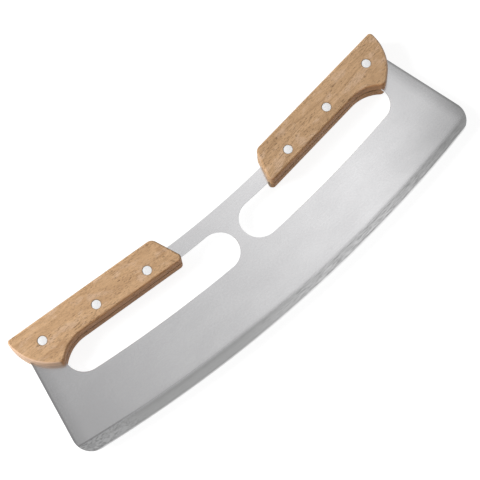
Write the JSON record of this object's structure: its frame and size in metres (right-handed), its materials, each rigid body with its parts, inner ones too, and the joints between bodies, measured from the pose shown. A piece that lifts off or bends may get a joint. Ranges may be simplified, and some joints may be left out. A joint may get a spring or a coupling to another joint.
{
  "type": "rocking pizza knife",
  "caption": "Rocking pizza knife: a wide curved steel blade with finger windows and a riveted wooden grip at each end of its bow.",
  "frame": {"origin": "centre of the knife's outline, on the plane that the rear faces of the wooden grips lie on", "axes": "+X along the blade towards its right end, +Y from the cutting edge towards the grips, +Z through the plate towards the front scales"},
  "size_m": [0.35, 0.1096, 0.0185],
  "materials": {
    "steel": "brushed along the blade, ground finer on the band at the cutting edge",
    "wood": "oiled, satin, grain along the grip",
    "rivet": "ground flush and polished"
  },
  "bodies": {
    "root": {"blade": "steel", "left_front_scale": "wood", "left_rear_scale": "wood", "right_front_scale": "wood", "right_rear_scale": "wood", "left_inner_rivet_pin": "rivet", "left_inner_rivet_tube": "rivet", "left_middle_rivet_pin": "rivet", "left_middle_rivet_tube": "rivet", "left_outer_rivet_pin": "rivet", "left_outer_rivet_tube": "rivet", "right_inner_rivet_pin": "rivet", "right_inner_rivet_tube": "rivet", "right_middle_rivet_pin": "rivet", "right_middle_rivet_tube": "rivet", "right_outer_rivet_pin": "rivet", "right_outer_rivet_tube": "rivet"}
  },
  "joints": []
}
